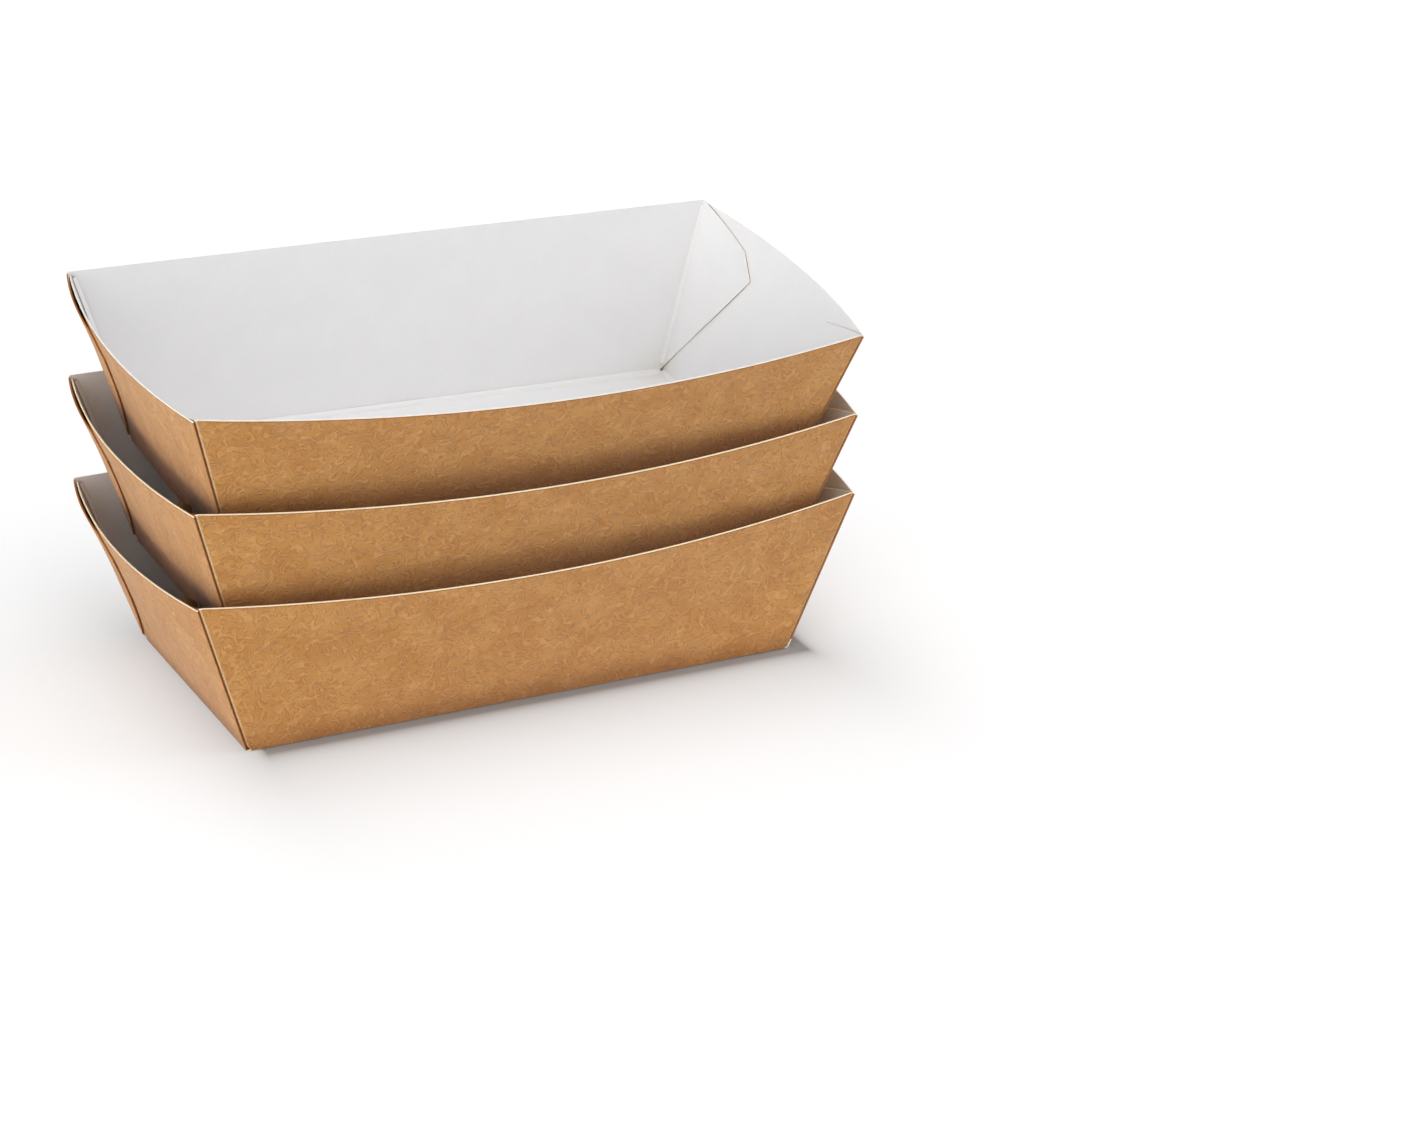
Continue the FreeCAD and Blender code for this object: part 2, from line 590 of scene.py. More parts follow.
@dataclass
class Panel:
    """A stretch of board, as rows and columns of points on its outer face.

    rise and along say where a point is on a bulging wall: up from the base fold
    (0 to 1) and along the rim (-1 to 1). outwards is the way that the wall bulges.
    """

    points: np.ndarray
    flat: np.ndarray
    fold: np.ndarray
    rise: np.ndarray | None = None
    along: np.ndarray | None = None
    outwards: tuple[float, float, float] = (0.0, 0.0, 0.0)
    is_end: bool = False
    cut: Cut = Cut.RIM


class SheetMesh:
    """Collects panels and joins them into one open sheet."""

    JOIN = 0.01 * MM

    def __init__(self) -> None:
        """Start an empty sheet."""
        self.sheet = bmesh.new()
        layers = self.sheet.verts.layers
        names = ("rise", "along", "fold", "is_end", "cut")
        self.numbers = {name: layers.float.new(name) for name in names}
        self.outwards = layers.float_vector.new("outwards")
        self.blank = self.sheet.loops.layers.uv.new("blank")

    def add(self, panel: Panel) -> None:
        """Add a panel's points and faces.

        Args:
            panel: The panel, in millimetres.
        """
        rows, columns = panel.points.shape[:2]
        none = np.zeros((rows, columns))
        shares = {
            "rise": none if panel.rise is None else panel.rise,
            "along": none if panel.along is None else panel.along,
            "fold": panel.fold,
            "is_end": none + float(panel.is_end),
            "cut": none + float(panel.cut),
        }
        if panel.cut in (Cut.FLAP, Cut.LAPPED):
            shares["cut"][:, 0] = float(Cut.RIM)
        points = []
        for row in range(rows):
            for column in range(columns):
                point = self.sheet.verts.new(panel.points[row, column] * MM)
                for name, layer in self.numbers.items():
                    point[layer] = float(shares[name][row, column])
                point[self.outwards] = panel.outwards
                points.append(point)
        for row in range(rows - 1):
            for column in range(columns - 1):
                low, high = (row, column), (row + 1, column + 1)
                places = [low, (row, column + 1), high, (row + 1, column)]
                face = self.sheet.faces.new([points[r * columns + c] for r, c in places])
                for loop, place in zip(face.loops, places):
                    loop[self.blank].uv = panel.flat[place] / BLANK_UNIT

    def finish(self, name: str) -> bpy.types.Object:
        """Join the panels where they meet, with the outside facing out.

        Args:
            name: The new object's name.

        Returns:
            The sheet's object.
        """
        bmesh.ops.remove_doubles(self.sheet, verts=self.sheet.verts, dist=self.JOIN)
        bmesh.ops.recalc_face_normals(self.sheet, faces=self.sheet.faces)
        lowest = min(self.sheet.faces, key=lambda face: face.calc_center_median().length)
        if lowest.normal.z > 0:
            bmesh.ops.reverse_faces(self.sheet, faces=self.sheet.faces)
        mesh = bpy.data.meshes.new(name)
        self.sheet.to_mesh(mesh)
        self.sheet.free()
        return add_object(name, mesh)


def add_object(name: str, data: bpy.types.ID) -> bpy.types.Object:
    """Add an object to the scene.

    Args:
        name: Its name.
        data: Its mesh, lamp or camera.

    Returns:
        The object.
    """
    added = bpy.data.objects.new(name, data)
    bpy.context.scene.collection.objects.link(added)
    return added


def arc_through(points: list[Vector], count: int) -> np.ndarray:
    """Spread points evenly along the circle through three points.

    Args:
        points: Start, a point on the way, and end.
        count: How many points to give.

    Returns:
        An array of count points.
    """
    start, middle, stop = points
    first, second = middle - start, stop - start
    normal = first.cross(second)
    shares = np.linspace(0, 1, count)
    if normal.length < 1e-6:
        return np.array([start.lerp(stop, share) for share in shares])
    centre = start + (
        second.length_squared * normal.cross(first) + first.length_squared * second.cross(normal)
    ) / (2 * normal.length_squared)
    radius = start - centre
    turn = radius.angle(middle - centre) + (middle - centre).angle(stop - centre)
    axis = normal.normalized()
    return np.array([centre + Matrix.Rotation(turn * share, 3, axis) @ radius for share in shares])


def unit(way: np.ndarray) -> np.ndarray:
    """A direction at a length of 1, where it has a length at all."""
    return way / max(np.linalg.norm(way), 1e-12)


def run_along(points: np.ndarray) -> np.ndarray:
    """How far along a line of points each of them lies."""
    return np.append(0.0, np.cumsum(np.linalg.norm(np.diff(points, axis=0), axis=1)))


@dataclass(frozen=True)
class TrayBlank:
    """Sizes of one folded tray in millimetres, over its outer faces."""

    board: float = 0.45
    glue_gap: float = 0.12
    fold_radius: float = 0.85
    base_length: float = 155.0
    base_width: float = 78.5
    rim_length: float = 185.0
    rim_width: float = 98.0
    wall_height: float = 46.5
    side_bow: float = 8.1
    side_dip: float = 3.5
    end_bow: float = 5.3
    end_dip: float = 0.8
    corner_relief: float = 0.35
    end_rim_drop: float = 0.7
    shoulder_reach: float = 22.5
    shoulder_drop: float = 6.4
    tip_reach: float = 29.0
    tip_drop: float = 12.0
    flap_neck: float = 0.3
    flap_heel: float = 1.6
    lapped_flap_lift: float = 0.6
    wall_rows: int = 22
    long_columns: int = 96
    short_columns: int = 48
    bend_steps: int = 7
    flap_columns: int = 18

    @property
    def side_flare(self) -> float:
        """How far a long wall's rim stands out over its base."""
        return (self.rim_width - self.base_width) / 2

    @property
    def end_flare(self) -> float:
        """How far an end wall's rim stands out over its base."""
        return (self.rim_length - self.base_length) / 2

    @property
    def side_lean(self) -> float:
        """A long wall's angle from upright."""
        return math.atan2(self.side_flare, self.wall_height)

    @property
    def end_lean(self) -> float:
        """An end wall's angle from upright."""
        return math.atan2(self.end_flare, self.wall_height)

    @property
    def side_level(self) -> float:
        """The board's thickness, measured level through a long wall."""
        return self.board / math.cos(self.side_lean)

    @property
    def end_level(self) -> float:
        """The board's thickness, measured level through an end wall."""
        return self.board / math.cos(self.end_lean)

    @property
    def end_rim_height(self) -> float:
        """Height of an end wall's rim at its corners."""
        return self.wall_height - self.end_rim_drop

    def fold_inset(self, corner: Corner) -> float:
        """Level distance from an end wall's outer face in to a corner's fold."""
        level = self.side_level if corner.lapped else self.end_level
        return -(self.glue_gap + level) if corner.lapped else self.glue_gap + level

    def side_place(self, height: float) -> float:
        """Distance of a long wall's outer face from the middle, at its corners."""
        return self.base_width / 2 + self.side_flare * height / self.wall_height

    def end_place(self, height: float) -> float:
        """Distance of an end wall's outer face from the middle, at its corners."""
        return self.base_length / 2 + self.end_flare * height / self.wall_height

    def side_run(self, height: Any) -> Any:
        """Distance from the middle, on the flat blank, of a height up a long wall."""
        return self.base_width / 2 + height / math.cos(self.side_lean)

    def end_face(self, y: float, height: float) -> float:
        """Distance of an end wall's bulging outer face from the middle.

        Args:
            y: Place across the tray.
            height: Height above the base.

        Returns:
            The distance along X.
        """
        crown = max(0.0, 1 - (y / self.side_place(height)) ** 2)
        reach = self.end_place(self.end_rim_height) - self.end_place(0) + self.end_bow * crown
        return self.end_place(0) + reach * height / (self.end_rim_height - self.end_dip * crown)

    def setback(self, first: Vector, second: Vector) -> float:
        """Distance from a sharp corner back to where the bend starts."""
        return self.fold_radius / math.tan(first.angle(second) / 2)

    def wall_up(self, outwards: Vector, lean: float) -> Vector:
        """Direction up a wall's outer face from its base fold."""
        return outwards * math.sin(lean) + UP * math.cos(lean)

    def wall_start(self, outwards: Vector, lean: float) -> float:
        """Height where the flat of a wall begins."""
        upwards = self.wall_up(outwards, lean)
        return self.setback(-outwards, upwards) * upwards.z

    def bend(self, corner: Vector, first: Vector, second: Vector) -> np.ndarray:
        """Points round a bend between two panels that leave a corner.

        Args:
            corner: The sharp corner.
            first: The way that the first panel leaves it.
            second: The way that the second panel leaves it.

        Returns:
            An array of points, from the first panel to the second.
        """
        start, stop = (corner + way * self.setback(first, second) for way in (first, second))
        inwards = (first + second).normalized()
        centre = corner + inwards * (self.fold_radius / math.sin(first.angle(second) / 2))
        return arc_through([start, centre - inwards * self.fold_radius, stop], self.bend_steps)

    def corner_point(self, corner: Corner, height: float) -> Vector:
        """A point of the sharp corner line between a long wall and its flap."""
        x = corner.end * (self.end_place(height) - self.fold_inset(corner))
        return Vector((x, corner.side * self.side_place(height), height))

    def flap_point(
        self, corner: Corner, reach: float, drop: float, lift: float, curl: float
    ) -> Vector:
        """A point of a flap's outer face.

        Args:
            corner: The flap's corner.
            reach: Distance along the end wall from the corner fold.
            drop: Distance below the fold's head.
            lift: How far the flap stands off its wall.
            curl: How far the flap's tip curls in off its wall.

        Returns:
            The point.
        """
        height = self.wall_height - drop
        y = corner.side * (self.side_place(height) - reach)
        x = self.end_face(y, height) - self.fold_inset(corner) + lift
        return Vector((corner.end * (x - curl * (reach / self.tip_reach) ** 2), y, height))


@dataclass(frozen=True)
class Nesting:
    """How a tray sits in the one below it, in millimetres and degrees."""

    rise: float = 26.9
    left: float = 1.5
    forward: float = 0.9
    tilt_front: float = 2.2
    tilt_right: float = 1.0
    seat_clearance: float = 0.15
    stack_x: float = 0.4549
    stack_y: float = 2.9518
    halvings: int = 30

    @property
    def step(self) -> Matrix:
        """Where a tray lies, seen from the tray below it.

        Returns:
            The placement in millimetres.
        """
        turn = Matrix.Rotation(math.radians(self.tilt_right), 4, "Y")
        turn = turn @ Matrix.Rotation(math.radians(self.tilt_front), 4, "X")
        return Matrix.Translation(Vector((-self.left, -self.forward, self.rise))) @ turn

    def place(self, count: int) -> Matrix:
        """Where a tray lies in the stack's frame.

        Args:
            count: How many trays are below it.

        Returns:
            The placement in metres.
        """
        placed = Matrix.Translation(Vector((self.stack_x, self.stack_y, 0.0)))
        for _ in range(count):
            placed = placed @ self.step
        placed.translation *= MM
        return placed

    def curl(self, blank: TrayBlank, corner: Corner) -> float:
        """How far a flap's tip curls in off its wall, to meet the tray above.

        Args:
            blank: The tray's sizes.
            corner: The flap's corner.

        Returns:
            The distance.
        """
        wall, _ = corner.ways
        above = self.step.inverted()
        clear, past = 0.0, blank.tip_reach
        for _ in range(self.halvings):
            curl = (clear + past) / 2
            outer = blank.flap_point(corner, blank.tip_reach, blank.tip_drop, 0.0, curl)
            tip = above @ (outer + wall * blank.side_level)
            room = corner.end * tip.x - blank.end_face(tip.y, tip.z)
            if room * math.cos(blank.end_lean) > self.seat_clearance:
                clear = curl
            else:
                past = curl
        return clear


# Rules that shape walls and creases


@dataclass(frozen=True)
class BulgeRule:
    """The rule by which walls bulge towards their rims, as a geometry node tree."""

    blank: TrayBlank
    ripple: float = 0.35
    ripple_scale: float = 22.0

    def by_wall(self, graph: Graph, side: Socket, end: Socket) -> Socket:
        """Pick a long wall's size or an end wall's.

        Args:
            graph: The rule's graph.
            side: The long wall's size.
            end: The end wall's size.

        Returns:
            The size at each point.
        """
        mixed = graph.node("ShaderNodeMix", {"data_type": "FLOAT"})
        sockets = [mixed.inputs[number] for number in (0, 2, 3)]
        graph.feed_all(sockets, (graph.stored("is_end"), side, end))
        return mixed.outputs[0]

    def tree(self, material: Material) -> Tree:
        """Build the tree.

        Args:
            material: The material that the sheet gets.

        Returns:
            The tree, with a named input for each size and for the ripple's seed.
        """
        graph = new_group(
            "GeometryNodeTree",
            "Bulging walls",
            [
                ("Geometry", "NodeSocketGeometry", None),
                ("Side Bow", NUMBER, self.blank.side_bow * MM),
                ("Side Dip", NUMBER, self.blank.side_dip * MM),
                ("End Bow", NUMBER, self.blank.end_bow * MM),
                ("End Dip", NUMBER, self.blank.end_dip * MM),
                ("Ripple", NUMBER, self.ripple * MM),
                ("Ripple Seed", NUMBER, 0.0),
            ],
            [("Geometry", "NodeSocketGeometry")],
        )
        sizes = graph.node("NodeGroupInput").outputs
        along = graph.stored("along")
        crown = graph.math("SUBTRACT", 1.0, graph.math("MULTIPLY", along, along))
        share = graph.math("MULTIPLY", graph.stored("rise"), crown)
        where = graph.node("GeometryNodeInputPosition").outputs[0]
        wave = graph.noise(where, self.ripple_scale, sizes["Ripple Seed"], Detail=1.0)
        ripple = graph.math("MULTIPLY", graph.math("SUBTRACT", wave, 0.5), sizes["Ripple"])
        bow = graph.math("ADD", self.by_wall(graph, sizes["Side Bow"], sizes["End Bow"]), ripple)
        dip_shadow = self.by_wall(graph, sizes["Side Dip"], sizes["End Dip"])
        outwards = graph.stored("outwards", "FLOAT_VECTOR")
        sideways = graph.vector_math("SCALE", outwards, graph.math("MULTIPLY", bow, share))
        down = graph.vector_math("SCALE", (0.0, 0.0, -1.0), graph.math("MULTIPLY", dip_shadow, share))
        offset = graph.vector_math("ADD", sideways, down)
        moved = graph.node("GeometryNodeSetPosition", Geometry=sizes["Geometry"], Offset=offset)
        finish_tree(graph, moved.outputs[0], material)
        return graph.tree


@dataclass(frozen=True)
class CreaseRule:
    """The raised bead that scoring leaves along a fold, as a geometry node tree."""

    step: float = 2.0
    height: float = 0.2
    sink: float = 0.06
    unevenness: float = 0.25
    wave_scale: float = 60.0
    profile_steps: int = 6

    def tree(self, material: Material) -> Tree:
        """Build the tree.

        Args:
            material: The material that the beads get.

        Returns:
            The tree, with named inputs for the bead's height, sink and seed.
        """
        graph = new_group(
            "GeometryNodeTree",
            "Crease beads",
            [
                ("Geometry", "NodeSocketGeometry", None),
                ("Half Width", NUMBER, BEAD_HALF * MM),
                ("Height", NUMBER, self.height * MM),
                ("Sink", NUMBER, self.sink * MM),
                ("Seed", NUMBER, 0.0),
            ],
            [("Geometry", "NodeSocketGeometry")],
        )
        sizes = graph.node("NodeGroupInput").outputs
        path = graph.node("GeometryNodeMeshToCurve", Mesh=sizes["Geometry"]).outputs[0]
        path = graph.node(
            "GeometryNodeResampleCurve", {"mode": "LENGTH"}, Curve=path, Length=self.step * MM
        ).outputs[0]
        way = graph.stored("bead_way", "FLOAT_VECTOR")
        path = graph.node(
            "GeometryNodeSetCurveNormal", {"mode": "FREE"}, Curve=path, Normal=way
        ).outputs[0]
        where = graph.node("GeometryNodeInputPosition").outputs[0]
        wave = graph.noise(where, self.wave_scale, sizes["Seed"], Detail=1.0)
        wave = graph.math("SUBTRACT", wave, 0.5)
        uneven = graph.math("ADD", 1.0, graph.math("MULTIPLY", wave, self.unevenness))
        radius = graph.math("MULTIPLY", graph.stored("bead_width"), uneven)
        path = graph.node("GeometryNodeSetCurveRadius", Curve=path, Radius=radius).outputs[0]
        half, sink = sizes["Half Width"], graph.math("MULTIPLY", sizes["Sink"], -1.0)
        start, middle, stop = (
            graph.node("ShaderNodeCombineXYZ", X=x, Y=y).outputs[0]
            for x, y in (
                (sink, graph.math("MULTIPLY", half, -1.0)),
                (graph.math("MULTIPLY", sizes["Height"], 2.0), 0.0),
                (sink, half),
            )
        )
        profile = graph.node(
            "GeometryNodeCurveQuadraticBezier",
            Resolution=self.profile_steps,
            Start=start,
            Middle=middle,
            End=stop,
        ).outputs[0]
        swept = graph.node("GeometryNodeCurveToMesh", Curve=path, Profile_Curve=profile)
        smooth = graph.node("GeometryNodeSetShadeSmooth", Geometry=swept.outputs[0])
        finish_tree(graph, smooth.outputs[0], material)
        return graph.tree


def finish_tree(graph: Graph, geometry: Socket, material: Material) -> None:
    """End a geometry node tree with real geometry in a material.

    Args:
        graph: The tree's graph.
        geometry: What the tree made.
        material: Its material.
    """
    real = graph.node("GeometryNodeRealizeInstances", Geometry=geometry).outputs[0]
    dressed = graph.node("GeometryNodeSetMaterial", Geometry=real, Material=material)
    graph.node("NodeGroupOutput", Geometry=dressed.outputs[0])


def apply_tree(piece: bpy.types.Object, tree: Tree, values: dict[str, float]) -> None:
    """Run a geometry node tree on an object and keep the result as its mesh.

    Args:
        piece: The object.
        tree: The tree.
        values: Inputs by name.
    """
    modifier = piece.modifiers.new(tree.name, "NODES")
    modifier.node_group = tree
    for item in tree.interface.items_tree:
        if item.item_type == "SOCKET" and item.in_out == "INPUT" and item.name in values:
            modifier[item.identifier] = values[item.name]
    graph = bpy.context.evaluated_depsgraph_get()
    result = bpy.data.meshes.new_from_object(piece.evaluated_get(graph))
    piece.modifiers.remove(modifier)
    old, piece.data = piece.data, result
    bpy.data.meshes.remove(old)


# One tray


@dataclass
class FoldedTray:
    """One tray of the stack, with its folded board and its creases."""

    node: str
    count: int
    flaps: Flaps
    blank: TrayBlank = field(default_factory=TrayBlank)
    nesting: Nesting = field(default_factory=Nesting)
    blank_shift: tuple[float, float] = (230.0, 170.0)
    ply_share: float = 0.3
    core_share: float = 0.7
    rim_ply_depth: float = 0.4
    rim_cut_depth: float = 0.12
    rim_slack: float = 1.1
    edge_round: float = 0.1
    end_grain: float = 0.5
    seed_step: float = 3.7
    sharp_angle: float = 38.0
    upright_share: float = 0.7
    corner_crease_width: float = 0.45
    lapped_crease: float = 1.7
    crease_foot: float = 3.0
    crease_head: float = 0.3
    crease_end: float = 0.4
    crease_settle: float = 0.35

    def heights(self) -> np.ndarray:
        """Heights of a wall's rows.

        Returns:
            Shares from 0 at the base fold to 1 at the rim.
        """
        depths = self.rim_ply_depth, self.rim_cut_depth
        ply, cut = (1.0 - depth / self.blank.wall_height for depth in depths)
        return np.append(np.linspace(0.0, ply, self.blank.wall_rows), [cut, 1.0])

    def fold_wear_and_highlight(self) -> np.ndarray:
        """How light each step round a bend is, rubbed pale and painted as a highlight, most at its
        middle.
        """
        return np.sin(np.linspace(0.0, math.pi, self.blank.bend_steps)) ** 4

    def deck_half(self) -> tuple[float, float]:
        """How far the flat base reaches from its middle.

        Returns:
            Half its length and half its width.
        """
        sizes = self.blank
        along, across = Vector((1, 0, 0)), Vector((0, 1, 0))
        return (
            sizes.base_length / 2 - sizes.setback(-along, sizes.wall_up(along, sizes.end_lean)),
            sizes.base_width / 2 - sizes.setback(-across, sizes.wall_up(across, sizes.side_lean)),
        )

    def deck(self) -> Panel:
        """The flat base.

        Returns:
            Its panel.
        """
        half_length, half_width = self.deck_half()
        x, y = np.meshgrid(
            np.linspace(-half_length, half_length, self.blank.long_columns),
            np.linspace(-half_width, half_width, self.blank.short_columns),
        )
        none = np.zeros_like(x)
        return Panel(np.dstack([x, y, none]), np.dstack([x, y]), none)

    def wall(self, outwards: Vector, edges: Iterable[Callable[[float], Vector]]) -> list[Panel]:
        """A bulging wall and the base fold below it.

        Args:
            outwards: The way that the wall faces.
            edges: Two functions that give its two edges at a height.

        Returns:
            The wall's panel and the fold's.
        """
        sizes = self.blank
        is_end = outwards.x != 0
        across = 0 if is_end else 1
        columns = sizes.short_columns if is_end else sizes.long_columns
        lean = sizes.end_lean if is_end else sizes.side_lean
        top = sizes.end_rim_height if is_end else sizes.wall_height
        halves = self.deck_half()
        base, reach = halves[across], halves[1 - across]
        deck_edge = np.zeros((columns, 3))
        deck_edge[:, across] = outwards[across] * base
        deck_edge[:, 1 - across] = np.linspace(-reach, reach, columns)
        start = sizes.wall_start(outwards, lean)
        rises = self.heights()
        shape = (len(rises), columns)
        sides = [[np.array(edge(start + (top - start) * rise)) for rise in rises] for edge in edges]
        left, right = (np.array(side)[:, None] for side in sides)
        rows = left + (right - left) * np.linspace(0.0, 1.0, columns)[None, :, None]
        upwards = sizes.wall_up(outwards, lean)
        foot = outwards * (base + sizes.setback(-outwards, upwards))
        profile = sizes.bend(foot, -outwards, upwards)
        shares = np.linspace(0.0, 1.0, len(profile))[:, None, None]
        fold_rows = deck_edge[None] * (1 - shares) + rows[:1] * shares
        for axis in (across, 2):
            fold_rows[:, :, axis] = profile[:, axis, None]
        fold_rows[-1] = rows[0]
        run = run_along(profile) + base
        slant = (rows[:, :, 2] - start) / math.cos(lean) + run[-1]

        def flat(points: np.ndarray, reach: np.ndarray) -> np.ndarray:
            """Lay points out on the flat blank.

            Args:
                points: Rows of folded points.
                reach: How far out from the middle each one lies.

            Returns:
                Their flat places.
            """
            place = points[:, :, :2].copy()
            place[:, :, across] = outwards[across] * reach
            place[:, :, 0] *= self.end_grain if is_end else 1.0
            return place

        along = np.broadcast_to(np.linspace(-1.0, 1.0, columns)[None], shape)
        rise = np.broadcast_to(rises[:, None], shape)
        wear_and_highlight_mask = np.broadcast_to(self.fold_wear_and_highlight()[:, None], fold_rows.shape[:2])
        cut = Cut.CORNER if is_end else Cut.RIM
        place = flat(rows, slant)
        return [
            Panel(rows, place, np.zeros(shape), rise, along, tuple(outwards), is_end, cut),
            Panel(fold_rows, flat(fold_rows, run[:, None]), wear_and_highlight_mask),
        ]

    def long_wall(self, side: Side) -> list[Panel]:
        """A long wall with its base fold.

        Args:
            side: Which long side.

        Returns:
            Its panels.
        """
        sizes = self.blank

        def edge(corner: Corner) -> Callable[[float], Vector]:
            """The wall's edge, where a corner's fold starts."""
            back = corner.ways[0] * sizes.setback(*corner.ways)
            return lambda height: sizes.corner_point(corner, height) + back

        return self.wall(Vector((0, side, 0)), [edge(Corner(side, end)) for end in End])

    def end_wall(self, end: End) -> list[Panel]:
        """An end wall with its base fold.

        Args:
            end: Which end.

        Returns:
            Its panels.
        """
        sizes = self.blank

        def edge(corner: Corner) -> Callable[[float], Vector]:
            """Trace the wall's cut edge, clear of a corner's fold.

            Args:
                corner: The corner.

            Returns:
                A function that gives the edge's point at a height.
            """
            trim = sizes.corner_relief + (sizes.side_level if corner.lapped else 0.0)
            return lambda height: Vector(
                (
                    end * sizes.end_place(height),
                    corner.side * (sizes.side_place(height) - trim),
                    height,
                )
            )

        return self.wall(Vector((end, 0, 0)), [edge(Corner(side, end)) for side in Side])

    def corner_flap(self, corner: Corner) -> list[Panel]:
        """A corner fold and the flap that hangs on it.

        Args:
            corner: The flap's corner.

        Returns:
            The fold's panel and the flap's.
        """
        sizes = self.blank
        side, end = corner.side, corner.end
        wall, flap = corner.ways
        lift = sizes.lapped_flap_lift if corner.lapped else 0.0
        sprung = self.flaps is Flaps.CURLED and not corner.lapped
        curl = self.nesting.curl(sizes, corner) if sprung else 0.0
        start = sizes.wall_start(Vector((0, side, 0)), sizes.side_lean)
        root_low, root_high = start + sizes.flap_heel, sizes.wall_height - sizes.flap_neck
        profile = sizes.bend(Vector((0, 0, 0)), wall, flap)
        run = run_along(profile)
        rises = self.heights()
        fold_points = np.zeros((len(rises), len(profile), 3))
        fold_flat = np.zeros((len(rises), len(profile), 2))
        for row, rise in enumerate(rises):
            at_wall = start + (sizes.wall_height - start) * rise
            at_flap = root_low + (root_high - root_low) * rise
            for column, height in enumerate(np.linspace(at_wall, at_flap, len(profile))):
                point = sizes.corner_point(corner, float(height))
                fold_points[row, column] = np.array(point) + profile[column]
                fold_flat[row, column] = point.x + end * run[column], side * sizes.side_run(height)
        back = flap * sizes.setback(wall, flap)
        tip, shoulder = sizes.tip_drop, sizes.shoulder_drop
        lower, upper = (
            arc_through(
                [
                    sizes.corner_point(corner, root) + back,
                    sizes.flap_point(corner, reach / 2, middle_drop, middle_lift, curl),
                    sizes.flap_point(corner, reach, drop, 0.0, curl),
                ],
                sizes.flap_columns,
            )
            for root, reach, drop, middle_drop, middle_lift in (
                (root_low, sizes.tip_reach, tip, (tip + sizes.wall_height) / 2, 0.0),
                (root_high, sizes.shoulder_reach, shoulder, shoulder / 2, lift),
            )
        )
        points = lower[None] + (upper - lower)[None] * rises[:, None, None]
        reach = np.linalg.norm(points[:, :, :2] - points[:, :1, :2], axis=2)
        along = fold_flat[:, -1:, 0] + end * reach
        flat = np.dstack([along, side * sizes.side_run(points[:, :, 2])])
        wear_and_highlight_mask = np.broadcast_to(self.fold_wear_and_highlight()[None], fold_points.shape[:2])
        cut = Cut.LAPPED if corner.lapped else Cut.FLAP
        return [
            Panel(fold_points, fold_flat, wear_and_highlight_mask),
            Panel(points, flat, np.zeros(points.shape[:2]), cut=cut),
        ]

    def sheet(self) -> bpy.types.Object:
        """Fold the whole outer face as one open sheet.

        Returns:
            Its object, before the walls bulge.
        """
        groups = [[self.deck()]] + [self.long_wall(side) for side in Side]
        groups += [self.end_wall(end) for end in End]
        groups += [self.corner_flap(corner) for corner in CORNERS]
        sheet = SheetMesh()
        for panel in (panel for group in groups for panel in group):
            panel.flat = panel.flat + np.array(self.blank_shift) * self.count
            sheet.add(panel)
        return sheet.finish(self.node + "_board")

    def outer_skin(self, rise: float) -> Skin:
        """The skin of an outer face, which is rubbed down to the core along a wall's rim.

        Args:
            rise: How far up its wall the face starts, as a share.

        Returns:
            The skin.
        """
        below_rim = (1.0 - rise) * self.blank.wall_height
        if below_rim < self.rim_cut_depth * self.rim_slack:
            return Skin.RIM_CUT
        return Skin.RIM_PLY if below_rim < self.rim_ply_depth * self.rim_slack else Skin.OUTSIDE

    def edge_skins(self, kinds: set[int], place: np.ndarray, way: np.ndarray) -> tuple[Skin, ...]:
        """The skins of a stretch of cut edge.

        Args:
            kinds: The kinds of cut at its two ends.
            place: Where it starts, in metres.
            way: From its start to its end.

        Returns:
            The skins across the edge, from the outer face in.
        """
        at_right = place[0] > 0
        high_up = place[2] > self.blank.wall_height * MM / 2
        upright = abs(way[2]) > self.upright_share * np.linalg.norm(way)
        # A curled flap's edges are painted dark brown as the shade of the gap that it sits in,
        # except high up at the right.
        if Cut.FLAP in kinds and self.flaps is Flaps.CURLED:
            return (Skin.RIM_CUT if at_right and high_up else Skin.PAINTED_SHADE_CUT,) * 3
        if Cut.LAPPED in kinds or (kinds == {Cut.CORNER} and upright and at_right):
            return (Skin.RIM_PLY,) * 3
        if Cut.FLAP in kinds:
            return Skin.RIM_PLY, Skin.FLAP_CUT, Skin.FLAP_CUT
        # An upright corner cut is painted dark brown behind its outer ply, as the shade of the
        # corner groove.
        if kinds == {Cut.CORNER} and upright:
            return Skin.RIM_PLY, Skin.PAINTED_SHADE_CUT, Skin.PAINTED_SHADE_CUT
        core = Skin.FLAP_CUT if self.flaps is Flaps.FLAT else Skin.RIM_CUT
        return core, core, Skin.FLAP_CUT

    def thicken(self, piece: bpy.types.Object, materials: list[Material]) -> None:
        """Give an open sheet its inner face and its cut edges.

        Args:
            piece: The sheet's object, whose mesh is replaced.
            materials: One material for each Skin.
        """
        sheet = piece.data
        count = len(sheet.vertices)

        def read(items: Any, name: str, width: int = 1) -> np.ndarray:
            """Read a value of each item.

            Args:
                items: Points, corners or other parts of the mesh.
                name: The value's name.
                width: How many numbers it has.

            Returns:
                An array with a row for each item.
            """
            values = np.zeros(len(items) * width)
            items.foreach_get(name, values)
            return values.reshape(-1, width) if width > 1 else values

        outer, normals = (read(sheet.vertices, name, 3) for name in ("co", "normal"))
        fold, cut, rise = (read(sheet.attributes[n].data, "value") for n in ("fold", "cut", "rise"))
        uv = read(sheet.uv_layers["blank"].data, "uv", 2)
        inner = outer - normals * self.blank.board * MM
        faces = [tuple(polygon.vertices) for polygon in sheet.polygons]
        face_uv = [[tuple(uv[i]) for i in polygon.loop_indices] for polygon in sheet.polygons]

